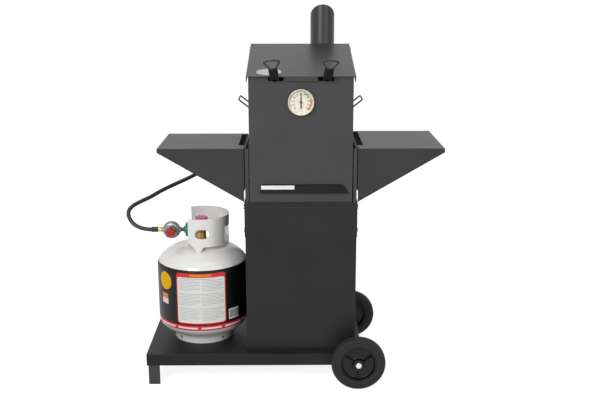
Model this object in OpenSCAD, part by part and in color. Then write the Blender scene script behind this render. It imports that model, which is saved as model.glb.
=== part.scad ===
/* [Body] */
// Width of the skirt, the lower sheet-metal box
skirt_w = 360; // [340:1:430]
// Depth of the skirt
body_d = 342; // [320:1:420]
// Height of the skirt
skirt_h = 509; // [420:1:620]
// Gap between the head's side and the skirt's side line
head_side_gap = 16; // [14:0.5:20]
// Distance that the head's front stands behind the skirt's front
head_inset = 2; // [1:0.5:4]
// Height of the head's front wall
head_h = 402; // [380:1:480]
// Slope of the lid and of the head's top edge, in degrees
lid_slope = 11.7; // [8:0.1:14]
// Thickness of the body's sheet steel
sheet = 2; // [1.5:0.1:2.4]
// Width of the bent flanges that stiffen the sheets
return_w = 15; // [12:1:18]

/* [Lid] */
// Overhang of the lid in front of the head
lid_front = 10; // [6:1:14]
// Length of the lid behind its hinge line
lid_tail = 25; // [20:1:28]
// Distance from the lid's top face to the hinge line
hinge_drop = 12; // [11:0.5:14]
// Distance from the hinge line to the head's rear face
hinge_back = 8; // [6:0.5:9]
// Depth of the lid's side flanges
lid_flange = 20; // [19:1:26]
// Gap between the lid's flange and the head's side
lid_side_gap = 4.5; // [3:0.5:6]
// Gap between the closed lid and the head's top edge
lid_rest_gap = 0.5; // [0.3:0.1:0.8]
// Width of the lid's front tab
tab_w = 102; // [80:1:106]
// Height of the lid's front tab
tab_h = 16; // [12:1:18]
// Radius of the hinge bolts
hinge_r = 4; // [3:0.5:5]
// Radial clearance of every turning fit
turn_gap = 0.08; // [0.05:0.01:0.1]

/* [Oil well] */
// Height of the fire tube's axis above the skirt
tube_rise = 155; // [140:1:200]
// Outer radius of the fire tube
tube_r = 36; // [30:1:38]
// Wall of the fire tube
tube_wall = 2; // [1.5:0.1:3]
// Distance from the head's front wall to the fire tube's bend
tube_front_gap = 12; // [8:1:20]
// Height above the skirt where the sloping bottom starts
vee_rise = 112; // [105:1:130]
// Height of the sloping bottom's lowest floor above the skirt
vee_floor = 42; // [36:1:60]
// Width of the flat floor at the bottom
vee_flat = 40; // [36:1:60]
// Outer radius of the drain pipe
drain_r = 13.35; // [10:0.05:14]
// Length of the drain valve's body
drain_valve_len = 48; // [40:1:52]

/* [Baskets] */
// Gap between a basket and the head's side wall
basket_side_gap = 16; // [10:1:20]
// Gap between the two baskets
basket_mid_gap = 22; // [14:1:26]
// Gap between a basket and the head's front wall
basket_front_gap = 12; // [10:1:16]
// Gap between a basket and the head's rear wall
basket_rear_gap = 17; // [10:1:24]
// Height of a basket
basket_h = 170; // [140:1:180]
// Wall of a basket
basket_wall = 1.5; // [1:0.1:2]
// Radius of the handle rod
rod_r = 3; // [2:0.1:3]
// Half the distance between the two rods of a handle
rod_half = 10; // [8:0.5:11]
// Width of a notch in the head's front edge
notch_w = 48; // [40:1:52]
// Depth of a notch
notch_d = 15; // [13:0.5:16]
// Length of the grip
grip_len = 42; // [34:1:52]
// Half the width of the end loop
loop_half = 26; // [18:1:26]

/* [Flue] */
// Outer radius of the stack
stack_r = 42; // [37:1:42]
// Gap between the open lid's sweep and the stack
stack_gap = 2.3; // [2:0.1:6]
// Height of the stack's top above the floor
stack_top = 1227; // [1180:1:1400]
// Angle of the slanted cut at the top
stack_cut = 42; // [30:1:48]

/* [Cart] */
// Height of the tray's top face
tray_z = 108; // [98:1:120]
// Depth of the tray's turned-down flange
tray_flange = 40; // [32:1:44]
// Tray in front of the skirt
tray_front = 34; // [28:1:40]
// Tray behind the skirt
tray_rear = 5; // [2:1:12]
// Tray beyond the gas cylinder
tray_left_margin = 22; // [14:1:30]
// Tray beyond the skirt on the wheel side
tray_right_margin = 24; // [22:1:40]
// Width of a leg's angle section
leg_w = 38; // [30:1:45]
// Wall of a leg
leg_wall = 3; // [2:0.5:4]
// Distance from the tray's end to a leg
leg_inset = 5; // [3:1:12]
// Radius of a wheel
wheel_r = 88.9; // [80:0.1:92]
// Width of a wheel
wheel_w = 42; // [30:1:50]
// Radius of the wheel's rim
rim_r = 57.6; // [50:0.1:62]
// Radius of the axle
axle_r = 6.35; // [5:0.05:8]
// Distance from the tray's right end to the axle
axle_inset = 16; // [12:1:24]
// Gap between a wheel and the tray
wheel_gap = 8; // [6:1:12]

/* [Shelves] */
// Distance from the skirt's side to a shelf's tip
shelf_reach = 276; // [220:1:335]
// Depth of the left shelf
shelf_d = 285; // [240:1:290]
// Depth of the right shelf, which reaches nearly to the skirt's rear
right_shelf_d = 336; // [260:1:338]
// Height of a shelf's top above the skirt
shelf_rise = 174; // [150:1:200]
// Height of a shelf's outer end
shelf_end = 13; // [10:1:20]
// Length of the bracket below the skirt's top
bracket_drop = 118; // [100:1:130]

/* [Lift handles] */
// Height of a lift handle's feet above the skirt
lift_rise = 287; // [260:1:320]
// Distance between a lift handle's feet
lift_span = 100; // [90:1:120]
// Distance from the head's side to the bar
lift_out = 36; // [30:1:40]
// Rise of the bar above its feet
lift_up = 28; // [20:1:34]

/* [Thermometer] */
// Height of the thermometer above the skirt
dial_rise = 322; // [310:1:340]
// Radius of the thermometer's case
dial_r = 41; // [30:1:44]
// Depth of the case
dial_d = 14; // [12:1:18]
// Length of the stem
stem_len = 96; // [70:1:120]

/* [Gas cylinder] */
// Radius of the cylinder
tank_r = 153; // [150:1:160]
// Gap between the cylinder and the skirt
tank_gap = 4; // [4:1:12]
// Height of the straight wall's lower end above the tray
tank_low = 76; // [74:1:100]
// Height of the straight wall's upper end above the tray
tank_high = 258; // [240:1:270]
// Depth of the cylinder's lower dome
tank_belly = 70; // [60:1:74]
// Wall of the cylinder
tank_wall = 3; // [2.5:0.5:4]
// Outer radius of the collar
collar_r = 94; // [88:1:96]
// Height of the collar's top above the tray
collar_top = 434; // [425:1:450]
// Outer radius of the foot ring
foot_r = 102; // [95:1:110]
// Height of the valve's outlet above the tray
outlet_rise = 375; // [372:1:380]

/* [Hidden] */
// Wall radius left round each hinge bolt, so the lid clears the head as it turns
ear_r = hinge_drop - sheet - lid_rest_gap;
tank_x = -(skirt_w / 2 + tank_gap + tank_r);
tray_x0 = tank_x - tank_r - tray_left_margin;
tray_x1 = skirt_w / 2 + tray_right_margin;
tray_d = tray_front + body_d + tray_rear;
tank_y = tray_d / 2;
skirt_y0 = tray_front;
skirt_y1 = tray_front + body_d;
skirt_top = tray_z + skirt_h;
head_hw = skirt_w / 2 - head_side_gap;
head_y0 = skirt_y0 + head_inset;
head_y1 = skirt_y1 - head_inset;
front_top = skirt_top + head_h;
hinge_y = head_y1 - hinge_back;
hinge_z = front_top + (hinge_y - head_y0) * tan(lid_slope) - ear_r / cos(lid_slope);
rear_top = hinge_z + sqrt(pow(ear_r, 2) - pow(hinge_back, 2));
lid_hw = head_hw + lid_side_gap + sheet;
lid_tip = (head_y0 - lid_front - hinge_y + hinge_drop * sin(lid_slope)) / cos(lid_slope);
basket_in = basket_mid_gap / 2;
basket_out = head_hw - sheet - basket_side_gap;
basket_x = (basket_in + basket_out) / 2;
tube_z = skirt_top + tube_rise;
basket_z = tube_z + tube_r + 0.3;
basket_top = basket_z + basket_h;
basket_y0 = head_y0 + sheet + basket_front_gap;
basket_y1 = head_y1 - sheet - basket_rear_gap;
notch_z = front_top - notch_d;
rod_z = notch_z + 0.3 + rod_r;
rod_y = basket_y0 - rod_r - 0.2;
grip_y = head_y0 - 16;
grip_tilt = 38;
splay = 6.5;
loop_rise = grip_len + 42;
bend_y = head_y0 + sheet + tube_front_gap + tube_r + basket_x;
tube_end = head_y1 + 22;
lid_sweep = norm([lid_tail, hinge_drop]);
stack_y = hinge_y + lid_sweep + stack_gap + stack_r;
stack_wall = 1.6;
drain_z = skirt_top + vee_floor + sheet + drain_r + 0.4;
drain_y = head_y1 + 28;
axle_x = tray_x1 - axle_inset;
wheel_front = -wheel_gap - wheel_w;
wheel_rear = tray_d + wheel_gap;
cap_out = 8;
shelf_z = skirt_top + shelf_rise;
shelf_x0 = skirt_w / 2 + sheet;
shelf_x1 = skirt_w / 2 + shelf_reach;
shelf_y0 = head_y0 + 2;
shelf_y1 = shelf_y0 + shelf_d;
bracket_z = skirt_top - bracket_drop;
bolt_r = 4;
bolt_gap = 0.3;
bolt_ys = [skirt_y0 + 26, shelf_y1 - 22];
bolt_zs = [bracket_z + 18, skirt_top - 21];
dial_z = skirt_top + dial_rise;
dial_y = head_y0 - dial_d - 2;
needle_y = dial_y + 6;
lift_y = [skirt_y0 + 112, skirt_y0 + 112 + lift_span];
lift_z = skirt_top + lift_rise;
dome_h = tank_r / 2;
tank_z1 = tray_z + tank_low;
tank_z2 = tray_z + tank_high;
outlet_z = tray_z + outlet_rise;
outlet_end = tank_x - 47;
regulator_x = tank_x - 102;
regulator_r = 30;
hose_r = 7;
elbow_x = -basket_x - 29;
elbow_y = head_y1 + 86;
origin_x = (tray_x0 + shelf_x1) / 2;
origin_y = (wheel_front - cap_out + stack_y + stack_r) / 2;
black = "#3c3c3d";
steel = "#b9babb";
brass = "#c9a86a";
cream = "#ebe9e3";

// Route of the gas hose, from the regulator round behind the left shelf to the burner's elbow
HOSE = [
    [-486, 190.5, 483], [-500, 190.5, 483], [-514, 190.5, 483], [-542, 193, 487],
    [-569, 200, 499], [-587, 214, 519], [-590, 228, 538], [-578, 244, 552],
    [-555, 264, 562], [-525, 290, 572], [-492, 322, 586], [-458, 352, 598],
    [-422, 378, 610], [-385, 402, 624], [-345, 423, 642], [-305, 440, 664],
    [-265, 452, 690], [-229, 458, 718], [-196, 460, 744], [-166, 460, 763],
    [-136.5, 460, 772], [-121.5, 460, 772], [-107.5, 460, 772]
];

$fn = 64;

// Puts a piece drawn from the body's centre line and the tray's front edge into the cart's own frame
module cart() translate([-origin_x, -origin_y, 0]) children();

// A box from its lowest to its highest corner
module block(low, high) translate(low) cube(high - low);

// Mirrors a left-hand piece to the right when side is 1
module sided(side) mirror([side > 0 ? 1 : 0, 0, 0]) children();

function unit(v) = v / norm(v);

// A path with each corner rounded over a length d on both sides
function rounded(p, d) = concat(
    [p[0]],
    [for (i = [1 : len(p) - 2], k = [0 : 4])
        let (t = k / 4, a = p[i] + d * unit(p[i - 1] - p[i]), b = p[i] + d * unit(p[i + 1] - p[i]))
        (1 - t) * (1 - t) * a + 2 * t * (1 - t) * p[i] + t * t * b],
    [p[len(p) - 1]]
);

// A round bar or tube swept along a path; lean is a direction that the path never follows
module swept(p, r, sides, lean) {
    n = len(p);
    along = [for (i = [0 : n - 1]) unit(p[min(i + 1, n - 1)] - p[max(i - 1, 0)])];
    across = [for (t = along) unit(cross(lean, t))];
    rings = [for (i = [0 : n - 1], k = [0 : sides - 1])
        p[i] + r * (cos(k * 360 / sides) * across[i] + sin(k * 360 / sides) * cross(along[i], across[i]))];
    polyhedron(rings, concat(
        [[for (k = [sides - 1 : -1 : 0]) k]],
        [for (i = [0 : n - 2], k = [0 : sides - 1])
            [i * sides + k, i * sides + (k + 1) % sides, (i + 1) * sides + (k + 1) % sides, (i + 1) * sides + k]],
        [[for (k = [0 : sides - 1]) (n - 1) * sides + k]]
    ));
}

// A cylinder along X or Y from one place to another
module bar_x(x0, x1, y, z, r, r2 = -1) {
    translate([x0, y, z]) rotate([0, 90, 0]) cylinder(r1 = r, r2 = r2 < 0 ? r : r2, h = x1 - x0);
}
module bar_y(y0, y1, x, z, r) translate([x, y0, z]) rotate([-90, 0, 0]) cylinder(r = r, h = y1 - y0);

// Turns an outline drawn in depth and height into a sheet between two X values
module sheet_x(x0, x1) translate([x0, 0, 0]) rotate([90, 0, 90]) linear_extrude(x1 - x0) children();

// Turns an outline drawn in width and height into a sheet between two Y values
module sheet_y(y0, y1) translate([0, y1, 0]) rotate([90, 0, 0]) linear_extrude(y1 - y0) children();

module base_tray() color(black) cart() difference() {
    block([tray_x0, 0, tray_z - tray_flange], [tray_x1, tray_d, tray_z]);
    block([tray_x0 + sheet, sheet, tray_z - tray_flange - 1], [tray_x1 - sheet, tray_d - sheet, tray_z - sheet]);
    bar_y(-1, tray_d + 1, axle_x, wheel_r, axle_r + bolt_gap);
    for (x = [-1, 1], y = [0, 1]) skirt_bolt_axis(x, y) cylinder(r = bolt_r + bolt_gap, h = 20, center = true);
}

// Places its child at one of the four bolts that hold the skirt to the tray
module skirt_bolt_axis(x, y) {
    translate([x * (skirt_w / 2 - sheet - return_w / 2), y ? skirt_y1 - 60 : skirt_y0 + 60, tray_z]) children();
}

module legs() color(black) cart() for (y = [0, 1]) {
    translate([tray_x0 + leg_inset, y ? tray_d - sheet : sheet, 0]) mirror([0, y, 0]) difference() {
        cube([leg_w, leg_w, tray_z - sheet]);
        translate([leg_wall, leg_wall, -1]) cube([leg_w, leg_w, tray_z]);
    }
}

module axle() color(steel) cart() {
    bar_y(wheel_front - 5, wheel_rear + wheel_w + 5, axle_x, wheel_r, axle_r);
}

module axle_spacers() color(steel) cart() for (y = [0, tray_d + wheel_gap]) difference() {
    bar_y(y - wheel_gap + 0.3, y - 0.3, axle_x, wheel_r, 11);
    bar_y(y - wheel_gap, y, axle_x, wheel_r, axle_r + 0.1);
}

module axle_cap(y, out) translate([axle_x, y, wheel_r]) rotate([out * 90, 0, 0]) difference() {
    union() {
        cylinder(r = 13, h = cap_out - 4.5);
        cylinder(r1 = 13, r2 = 9, h = cap_out - 2.3);
    }
    translate([0, 0, -1]) cylinder(r = axle_r + 0.1, h = 4);
}

module axle_caps() color("#d8d8d4") cart() {
    axle_cap(wheel_front - 2.3, 1);
    axle_cap(wheel_rear + wheel_w + 2.3, -1);
}

module tyre(y0) translate([axle_x, y0, wheel_r]) rotate([-90, 0, 0]) rotate_extrude($fn = 96) polygon([
    [rim_r + 0.1, 4], [rim_r + 14, 0], [wheel_r - 8, 2], [wheel_r - 2, 7], [wheel_r, 12],
    [wheel_r, wheel_w - 12], [wheel_r - 2, wheel_w - 7], [wheel_r - 8, wheel_w - 2],
    [rim_r + 14, wheel_w], [rim_r + 0.1, wheel_w - 4]
]);

module front_tyre() color("#2a2a2a") cart() tyre(wheel_front);
module rear_tyre() color("#2a2a2a") cart() tyre(wheel_rear);

// Rim with its dished web on the outer side, three ribs and a hub
module rim(y0, out) translate([axle_x, y0 + wheel_w / 2, wheel_r]) rotate([out * 90, 0, 0]) difference() {
    union() {
        difference() {
            cylinder(r = rim_r, h = wheel_w - 8, center = true, $fn = 96);
            for (s = [-1, 1]) translate([0, 0, s * 16]) cylinder(r = rim_r - 5, h = 22, center = true);
        }
        translate([0, 0, -wheel_w / 2]) cylinder(r = 17, h = wheel_w + 2);
        for (a = [30, 150, 270]) rotate(a) translate([16, -4, 0]) cube([rim_r - 19, 8, 13]);
    }
    cylinder(r = axle_r + turn_gap, h = 99, center = true);
}

module front_rim() color("#333333") cart() rim(wheel_front, 1);
module rear_rim() color("#333333") cart() rim(wheel_rear, -1);

module skirt() color(black) cart() {
    hw = skirt_w / 2;
    difference() {
        block([-hw, skirt_y0, tray_z], [hw, skirt_y1, skirt_top]);
        block([-hw + sheet, skirt_y0 + sheet, tray_z + sheet], [hw - sheet, skirt_y1 - sheet, skirt_top + 1]);
        block([-hw + sheet + return_w, skirt_y0 + sheet + return_w, 0], [hw - sheet - return_w, skirt_y1 + 1, 999]);
        for (x = [-1, 1], y = [0, 1]) skirt_bolt_axis(x, y) cylinder(r = bolt_r + bolt_gap, h = 20, center = true);
        bracket_bolt_holes();
    }
    block([sheet * 2 - hw + 24, skirt_y0 + sheet, skirt_top - sheet],
        [hw - 24 - sheet * 2, skirt_y0 + sheet + return_w, skirt_top]);
}

module bolt_up(head_r) {
    translate([0, 0, -sheet - 6.2]) cylinder(r = head_r, h = 6, $fn = 6);
    translate([0, 0, -sheet - 6.2]) cylinder(r = bolt_r, h = 2 * sheet + 12.4);
    translate([0, 0, sheet + 0.2]) cylinder(r = head_r, h = 4);
}

module skirt_bolts() color(steel) cart() for (x = [-1, 1], y = [0, 1]) skirt_bolt_axis(x, y) bolt_up(6.5);

module bracket_bolt_holes() {
    for (y = bolt_ys, z = bolt_zs, s = [-1, 1]) {
        bar_x(s * skirt_w / 2 - 12, s * skirt_w / 2 + 12, y, z, bolt_r + bolt_gap);
    }
}

// Channel that stands inside the skirt and carries the head on its ledge
module bracket(side) color(black) cart() sided(side) {
    outer = skirt_w / 2 - sheet;
    difference() {
        union() {
            block([-outer, head_y0, bracket_z], [-outer + sheet, shelf_y1 + 12, shelf_z]);
            block([-outer, head_y0, skirt_top], [-head_hw - 3, head_y0 + sheet, shelf_z]);
            block([-outer, head_y0 + 22, skirt_top - sheet], [-outer + 36, shelf_y1 + 12, skirt_top]);
        }
        bracket_bolt_holes();
        block([-outer - 1, head_y0 - 1, bracket_z - 1], [-outer + 40, skirt_y0 + return_w + 4, skirt_top]);
    }
}

module left_bracket() bracket(-1);
module right_bracket() bracket(1);

function shelf_depth(side) = side < 0 ? shelf_d : right_shelf_d;

// Folded shelf: top, end face and two triangular gussets
module shelf(side) color("#4a4a4a") cart() sided(side) {
    y1 = shelf_y0 + shelf_depth(side);
    outline = [[-shelf_x0, shelf_z], [-shelf_x1, shelf_z], [-shelf_x1, shelf_z - shelf_end], [-shelf_x0, skirt_top]];
    for (y = [shelf_y0, y1 - sheet]) sheet_y(y, y + sheet) polygon(outline);
    block([-shelf_x1, shelf_y0, shelf_z - shelf_end], [-shelf_x1 + sheet, y1, shelf_z]);
    difference() {
        block([-shelf_x1, shelf_y0, shelf_z - sheet], [-shelf_x0, y1, shelf_z]);
        block([-shelf_x0 - 19, shelf_y0 + 60, shelf_z - 5], [-shelf_x0 + 1, y1 - 18, shelf_z + 1]);
    }
}

module left_shelf() shelf(-1);
module right_shelf() shelf(1);

// Plate between a shelf and the body, bolted to the skirt's side
module shelf_plate(side) color("#2e2e2e") cart() sided(side) difference() {
    sheet_x(-shelf_x0, -shelf_x0 + sheet) difference() {
        translate([shelf_y0, bracket_z]) square([shelf_depth(side), shelf_z - bracket_z]);
        translate([shelf_y0 - 1, skirt_top]) square([71, 37]);
    }
    bracket_bolt_holes();
}

module left_shelf_plate() shelf_plate(-1);
module right_shelf_plate() shelf_plate(1);

module bracket_bolts() color(steel) cart() for (y = bolt_ys, z = bolt_zs, side = [-1, 1]) sided(side) {
    bar_x(-shelf_x0 - 4, -shelf_x0, y, z, 7);
    bar_x(-shelf_x0, -skirt_w / 2 + 12, y, z, bolt_r);
    translate([-skirt_w / 2 + 2 * sheet, y, z]) rotate([0, 90, 0]) cylinder(r = 7, h = 6, $fn = 6);
}

// Side view of the head, with its top edge rounded about the hinge line
module head_outline() intersection() {
    translate([head_y0, skirt_top]) square([head_y1 - head_y0, 999]);
    union() {
        polygon([
            [head_y0, skirt_top], [head_y1, skirt_top], [head_y1, hinge_z], [hinge_y, hinge_z],
            [hinge_y - ear_r * sin(lid_slope), hinge_z + ear_r * cos(lid_slope)], [head_y0, front_top]
        ]);
        translate([hinge_y, hinge_z]) circle(r = ear_r, $fn = 48);
    }
}

module head_casing() color("#454547") cart() difference() {
    union() {
        for (x = [-head_hw, head_hw - sheet]) sheet_x(x, x + sheet) head_outline();
        block([-head_hw, head_y0, skirt_top], [head_hw, head_y0 + sheet, front_top]);
        block([-head_hw, head_y1 - sheet, skirt_top], [head_hw, head_y1, rear_top]);
        difference() {
            block([-head_hw, head_y0, skirt_top], [head_hw, head_y1, skirt_top + sheet]);
            block([-head_hw + 18, head_y0 + 18, 0], [head_hw - 18, head_y1 - 18, 999]);
        }
    }
    for (s = [-1, 1]) {
        block([s * basket_x - notch_w / 2, head_y0 - 1, notch_z],
            [s * basket_x + notch_w / 2, head_y0 + sheet + 1, front_top + 1]);
        bar_y(head_y1 - 9, head_y1 + 9, s * basket_x, tube_z, tube_r + 0.2);
    }
    bar_x(-head_hw - 1, head_hw + 1, hinge_y, hinge_z, hinge_r + 0.1);
    bar_y(head_y0 - 1, head_y0 + 9, 0, dial_z, 4.2);
    bar_y(head_y1 - 9, head_y1 + 9, 0, drain_z, drain_r + 0.2);
}

// Sloping bottom of the oil well, folded from one sheet
module well_bottom() color("#5a5a5c") cart() sheet_y(head_y0 + sheet, head_y1 - sheet) {
    hw = head_hw - sheet;
    top = skirt_top + vee_rise;
    low = skirt_top + vee_floor;
    polygon([
        [-hw, top + 12], [-hw, top - sheet], [-vee_flat / 2, low], [vee_flat / 2, low], [hw, top - sheet],
        [hw, top + 12], [hw - sheet, top + 12], [hw - sheet, top], [vee_flat / 2 - 1, low + sheet],
        [1 - vee_flat / 2, low + sheet], [sheet - hw, top], [sheet - hw, top + 12]
    ]);
}

// Half-round bend at the front of the fire tube, welded to its two legs
module tube_bend() color("#57575a") cart() translate([0, bend_y, tube_z]) rotate([0, 0, 180]) {
    rotate_extrude(angle = 180) translate([basket_x, 0]) difference() {
        circle(r = tube_r);
        circle(r = tube_r - tube_wall);
    }
}

module tube_leg(side) color("#57575a") cart() difference() {
    bar_y(bend_y, tube_end, side * basket_x, tube_z, tube_r);
    bar_y(bend_y - 1, tube_end + 1, side * basket_x, tube_z, tube_r - tube_wall);
}

module burner_leg() tube_leg(-1);
module flue_leg() tube_leg(1);

module stack() color("#4c4c4e") cart() {
    top = stack_top + 2 * stack_r;
    low = tube_z - tube_r - 8;
    difference() {
        union() {
            translate([basket_x, stack_y, low]) cylinder(r = stack_r, h = top - low);
            bar_y(head_y1 + 6, stack_y, basket_x, tube_z, tube_r + 2);
        }
        translate([basket_x, stack_y, low + stack_wall]) cylinder(r = stack_r - stack_wall, h = top);
        bar_y(head_y1, stack_y, basket_x, tube_z, tube_r + 0.2);
        translate([basket_x, stack_y - stack_r, stack_top]) rotate([-stack_cut, 0, 0]) {
            translate([-99, -99, 0]) cube([198, 299, 299]);
        }
    }
}

module burner() color("#3b3b3b") cart() difference() {
    union() {
        bar_y(head_y1 - 50, tube_end + 4, -basket_x, tube_z, tube_r - tube_wall - 5);
        bar_y(tube_end + 0.3, tube_end + 3.3, -basket_x, tube_z, tube_r + 3);
        bar_y(tube_end + 3, tube_end + 36, -basket_x, tube_z, 15);
        bar_y(tube_end + 36, tube_end + 46, -basket_x, tube_z, 23);
    }
    bar_y(head_y1 - 51, tube_end + 2, -basket_x, tube_z, tube_r - tube_wall - 7);
    bar_y(tube_end, tube_end + 50, -basket_x, tube_z, 12);
}

module burner_orifice() color(brass) cart() {
    bar_y(tube_end + 34, elbow_y - 8.2, -basket_x, tube_z, 5);
    translate([-basket_x, tube_end + 46.3, tube_z]) rotate([-90, 0, 0]) {
        cylinder(r = 13, h = elbow_y - 9.2 - tube_end - 46.3, $fn = 6);
    }
}

module gas_elbow() color(brass) cart() {
    block([-basket_x - 9, elbow_y - 8, tube_z - 9], [-basket_x + 9, elbow_y + 9, tube_z + 9]);
    bar_x(elbow_x, -basket_x, elbow_y, tube_z, 8);
}

module drain_pipe() color(steel) cart() difference() {
    bar_y(head_y1 - 10, drain_y, 0, drain_z, drain_r);
    bar_y(head_y1 - 11, drain_y + 1, 0, drain_z, drain_r - 2.8);
}

module drain_valve() color(brass) cart() difference() {
    union() {
        bar_y(drain_y, drain_y + drain_valve_len, 0, drain_z, 18);
        translate([0, drain_y + drain_valve_len / 2, drain_z]) sphere(r = 22);
        translate([0, drain_y + drain_valve_len / 2, drain_z]) cylinder(r = 7, h = 29);
        translate([0, drain_y + drain_valve_len / 2, drain_z]) cylinder(r = 3.5, h = 38);
    }
    bar_y(drain_y - 1, drain_y + drain_valve_len + 1, 0, drain_z, drain_r - 2.8);
}

module drain_spout() color(steel) cart() difference() {
    bar_y(drain_y + drain_valve_len, drain_y + drain_valve_len + 20, 0, drain_z, drain_r);
    bar_y(drain_y, drain_y + drain_valve_len + 21, 0, drain_z, drain_r - 2.8);
}

module drain_lever() color("#b02a22") cart() {
    translate([0, drain_y + drain_valve_len / 2, drain_z + 29.3]) difference() {
        union() {
            cylinder(r = 10, h = 3);
            translate([-92, -7, 0]) cube([90, 14, 3]);
        }
        translate([0, 0, -1]) cylinder(r = 3.5 + turn_gap, h = 9);
    }
}

// Downward-facing ledge with slanted ends, folded out of the head's front
module front_ledge() color("#2c2c2b") cart() intersection() {
    top = skirt_top + 59;
    sheet_x(-140, 170) polygon([
        [head_y0, top], [head_y0 - 5, top - 2], [head_y0 - 13, top - 25], [head_y0 - 11, top - 27],
        [head_y0, top - 12]
    ]);
    sheet_y(0, 99) polygon([[-127, top], [133, top], [153, top - 27], [-131, top - 27]]);
}

// Bent rod welded to the head's side
module lift_handle(side) color(black) cart() sided(side) difference() {
    swept(rounded([
        [-head_hw + 3, lift_y[0], lift_z - 2.3], [-head_hw - lift_out, lift_y[0], lift_z + lift_up],
        [-head_hw - lift_out, lift_y[1], lift_z + lift_up], [-head_hw + 3, lift_y[1], lift_z - 2.3]
    ], 8), rod_r, 12, [lift_up, 0, lift_out]);
    block([-head_hw, lift_y[0] - 9, lift_z - 20], [-head_hw + 20, lift_y[1] + 9, lift_z + 20]);
}

module left_lift_handle() lift_handle(-1);
module right_lift_handle() lift_handle(1);

// The lid is drawn flat with its hinge line at the origin, then leaned to its slope
module lid() color("#5d5b59") cart() translate([0, hinge_y, hinge_z]) rotate([lid_slope, 0, 0]) difference() {
    union() {
        block([-lid_hw, lid_tip, hinge_drop - sheet], [lid_hw, lid_tail, hinge_drop]);
        for (x = [-lid_hw, lid_hw - sheet]) {
            block([x, lid_tip, hinge_drop - lid_flange], [x + sheet, lid_tail, hinge_drop]);
        }
        block([-tab_w / 2, lid_tip, hinge_drop - tab_h], [tab_w / 2, lid_tip + sheet, hinge_drop]);
    }
    bar_x(-lid_hw - 1, lid_hw + 1, 0, 0, hinge_r + turn_gap);
}

module hinge_bolts() color(steel) cart() for (side = [-1, 1]) sided(side) {
    bar_x(-lid_hw - 4.3, -lid_hw - 0.3, hinge_y, hinge_z, 7);
    bar_x(-lid_hw - 1, -head_hw + 10, hinge_y, hinge_z, hinge_r);
    translate([-head_hw + sheet + 0.2, hinge_y, hinge_z]) rotate([0, 90, 0]) cylinder(r = 6.5, h = 5, $fn = 6);
}

module basket(side) color(steel) cart() sided(side) difference() {
    block([-basket_out, basket_y0, basket_z], [-basket_in, basket_y1, basket_top]);
    block([-basket_out + basket_wall, basket_y0 + basket_wall, basket_z + basket_wall],
        [-basket_in - basket_wall, basket_y1 - basket_wall, basket_top + 1]);
}

module left_basket() basket(-1);
module right_basket() basket(1);

// Frame of a handle above the notch: Z runs up the handle
module handle_frame() translate([-basket_x - 2, grip_y, rod_z]) rotate([grip_tilt, 0, 0]) {
    rotate([0, -splay, 0]) children();
}

function handle_point(p) = [
    -basket_x - 2 + p[0] * cos(splay) - p[2] * sin(splay),
    grip_y + p[1] * cos(grip_tilt) - (p[0] * sin(splay) + p[2] * cos(splay)) * sin(grip_tilt),
    rod_z + p[1] * sin(grip_tilt) + (p[0] * sin(splay) + p[2] * cos(splay)) * cos(grip_tilt)
];

// Points of one half of a handle, from the basket up to a corner of the end loop
function half_handle(s) = [
    [-basket_x - 2 + s * rod_half, rod_y, basket_top - 40], [-basket_x - 2 + s * rod_half, rod_y, rod_z],
    handle_point([s * rod_half, 0, 0]), handle_point([s * rod_half, 0, grip_len + 12]),
    handle_point([s * loop_half, 0, loop_rise - 4])
];

module basket_rods(side) color("#232323") cart() sided(side) {
    right = half_handle(1);
    swept(rounded(concat(
        half_handle(-1), [handle_point([0, 0, loop_rise])], [for (i = [len(right) - 1 : -1 : 0]) right[i]]
    ), 6), rod_r, 12, [0.5, 0.55, 0.6]);
}

module left_basket_rods() basket_rods(-1);
module right_basket_rods() basket_rods(1);

module grip(side) color("#1e1e1e") cart() sided(side) handle_frame() difference() {
    translate([-14, -4.5, 7]) cube([28, 9, grip_len - 1]);
    for (s = [-1, 1]) translate([s * rod_half, 0, 0]) cylinder(r = rod_r + 0.1, h = 99);
}

module left_grip() grip(-1);
module right_grip() grip(1);

module thermometer_case() color("#c9b9a4") cart() {
    difference() {
        bar_y(dial_y, head_y0 - 2, 0, dial_z, dial_r);
        bar_y(dial_y - 1, head_y0 - 4, 0, dial_z, dial_r - 2);
    }
    bar_y(head_y0 - 2, head_y0, 0, dial_z, 9);
    bar_y(head_y0 - 3, head_y0 + stem_len, 0, dial_z, 3);
}

module thermometer_dial() color("#efe8dc") cart() {
    bar_y(needle_y + 2, needle_y + 3, 0, dial_z, dial_r - 2.2);
    bar_y(needle_y - 2, needle_y + 2, 0, dial_z, 1.5);
    bar_y(needle_y + 3, head_y0 - 4, 0, dial_z, 6);
}

module thermometer_needle() color("#232323") cart() translate([0, needle_y + 1, dial_z]) rotate([90, 0, 0]) {
    difference() {
        union() {
            cylinder(r = 4, h = 1);
            linear_extrude(1) polygon([[-1.6, -20], [1.6, -20], [2, 0], [0.6, 30], [-0.6, 30], [-2, 0]]);
        }
        translate([0, 0, -1]) cylinder(r = 1.5 + turn_gap, h = 3);
    }
}

module thermometer_lens() color([0.9, 0.95, 1, 0.3]) cart() {
    bar_y(dial_y + 1, dial_y + 2.5, 0, dial_z, dial_r - 2.2);
}

module thermometer_nut() color(brass) cart() difference() {
    translate([0, head_y0 + sheet + 0.2, dial_z]) rotate([-90, 0, 0]) cylinder(r = 9, h = 7, $fn = 6);
    bar_y(head_y0, head_y0 + 20, 0, dial_z, 3.1);
}

// Half outline of the pressure shell, in from its outside, from its neck down to its bottom
function shell_outline(in) = concat(
    [for (a = [86 : -4 : 0]) [(tank_r - in) * cos(a), tank_z2 + (dome_h - in) * sin(a)]],
    [for (a = [0 : 5 : 90]) [(tank_r - in) * cos(a), tank_z1 - (tank_belly - in) * sin(a)]]
);

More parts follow.
